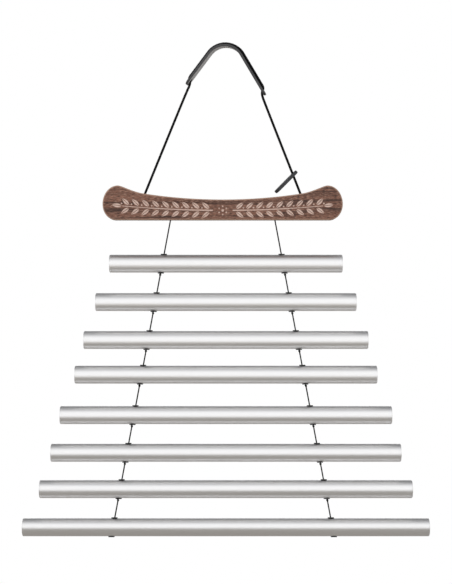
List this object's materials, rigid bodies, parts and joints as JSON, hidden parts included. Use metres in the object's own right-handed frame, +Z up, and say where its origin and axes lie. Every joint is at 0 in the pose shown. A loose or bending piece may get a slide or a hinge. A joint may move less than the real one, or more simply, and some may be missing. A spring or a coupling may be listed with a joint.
{
  "type": "bar chimes",
  "caption": "Hanging ladder of open aluminium chime tubes strung on two cords below a boat-shaped wooden board, carried by a cord with a bent leather grip.",
  "frame": {"origin": "the hook's seat: the top of the leather grip's underside", "axes": "+Z up, +X along the tubes to the player's right, -Y towards the player"},
  "size_m": [0.4553, 0.0273, 0.5542],
  "materials": {
    "satin_aluminium": "satin anodised",
    "black_rubber": "moulded, matte",
    "black_cord": "braided polyester",
    "dark_wood": "oiled hardwood, engraved",
    "black_leather": "smooth, cut edges"
  },
  "bodies": {
    "hanger": {"hanger_grip": "black_leather", "hanger_cord": "black_cord"},
    "tag": {"leather_tag": "black_leather"},
    "board": {"top_board": "dark_wood", "hanger_cord_knots": "black_cord", "ladder_cord_knots": "black_cord"},
    "rung_1": {"tube_1": "satin_aluminium", "grommets_1": "black_rubber", "ladder_cord_1": "black_cord"},
    "rung_2": {"tube_2": "satin_aluminium", "grommets_2": "black_rubber", "ladder_cord_2": "black_cord"},
    "rung_3": {"tube_3": "satin_aluminium", "grommets_3": "black_rubber", "ladder_cord_3": "black_cord"},
    "rung_4": {"tube_4": "satin_aluminium", "grommets_4": "black_rubber", "ladder_cord_4": "black_cord"},
    "rung_5": {"tube_5": "satin_aluminium", "grommets_5": "black_rubber", "ladder_cord_5": "black_cord"},
    "rung_6": {"tube_6": "satin_aluminium", "grommets_6": "black_rubber", "ladder_cord_6": "black_cord"},
    "rung_7": {"tube_7": "satin_aluminium", "grommets_7": "black_rubber", "ladder_cord_7": "black_cord"},
    "rung_8": {"tube_8": "satin_aluminium", "grommets_8": "black_rubber", "ladder_cord_8": "black_cord"}
  },
  "joints": [
    {"name": "board_swing", "type": "hinge", "parent": "hanger", "child": "board", "pos_m": [0, 0, -0.16472], "axis": [1, 0, 0], "range_deg": [-20, 20]},
    {"name": "tag_swivel", "type": "hinge", "parent": "hanger", "child": "tag", "pos_m": [0.07605, -0.00105, -0.14339], "axis": [-0.3715, -0.0457, 0.9273], "continuous": true},
    {"name": "rung_1_swing", "type": "hinge", "parent": "board", "child": "rung_1", "pos_m": [0, 0, -0.194], "axis": [1, 0, 0], "range_deg": [-30, 30]},
    {"name": "rung_2_swing", "type": "hinge", "parent": "rung_1", "child": "rung_2", "pos_m": [0, 0, -0.25756], "axis": [1, 0, 0], "range_deg": [-30, 30]},
    {"name": "rung_3_swing", "type": "hinge", "parent": "rung_2", "child": "rung_3", "pos_m": [0, 0, -0.30056], "axis": [1, 0, 0], "range_deg": [-30, 30]},
    {"name": "rung_4_swing", "type": "hinge", "parent": "rung_3", "child": "rung_4", "pos_m": [0, 0, -0.34306], "axis": [1, 0, 0], "range_deg": [-30, 30]},
    {"name": "rung_5_swing", "type": "hinge", "parent": "rung_4", "child": "rung_5", "pos_m": [0, 0, -0.38186], "axis": [1, 0, 0], "range_deg": [-30, 30]},
    {"name": "rung_6_swing", "type": "hinge", "parent": "rung_5", "child": "rung_6", "pos_m": [0, 0, -0.42716], "axis": [1, 0, 0], "range_deg": [-30, 30]},
    {"name": "rung_7_swing", "type": "hinge", "parent": "rung_6", "child": "rung_7", "pos_m": [0, 0, -0.46936], "axis": [1, 0, 0], "range_deg": [-30, 30]},
    {"name": "rung_8_swing", "type": "hinge", "parent": "rung_7", "child": "rung_8", "pos_m": [0, 0, -0.51006], "axis": [1, 0, 0], "range_deg": [-30, 30]}
  ]
}
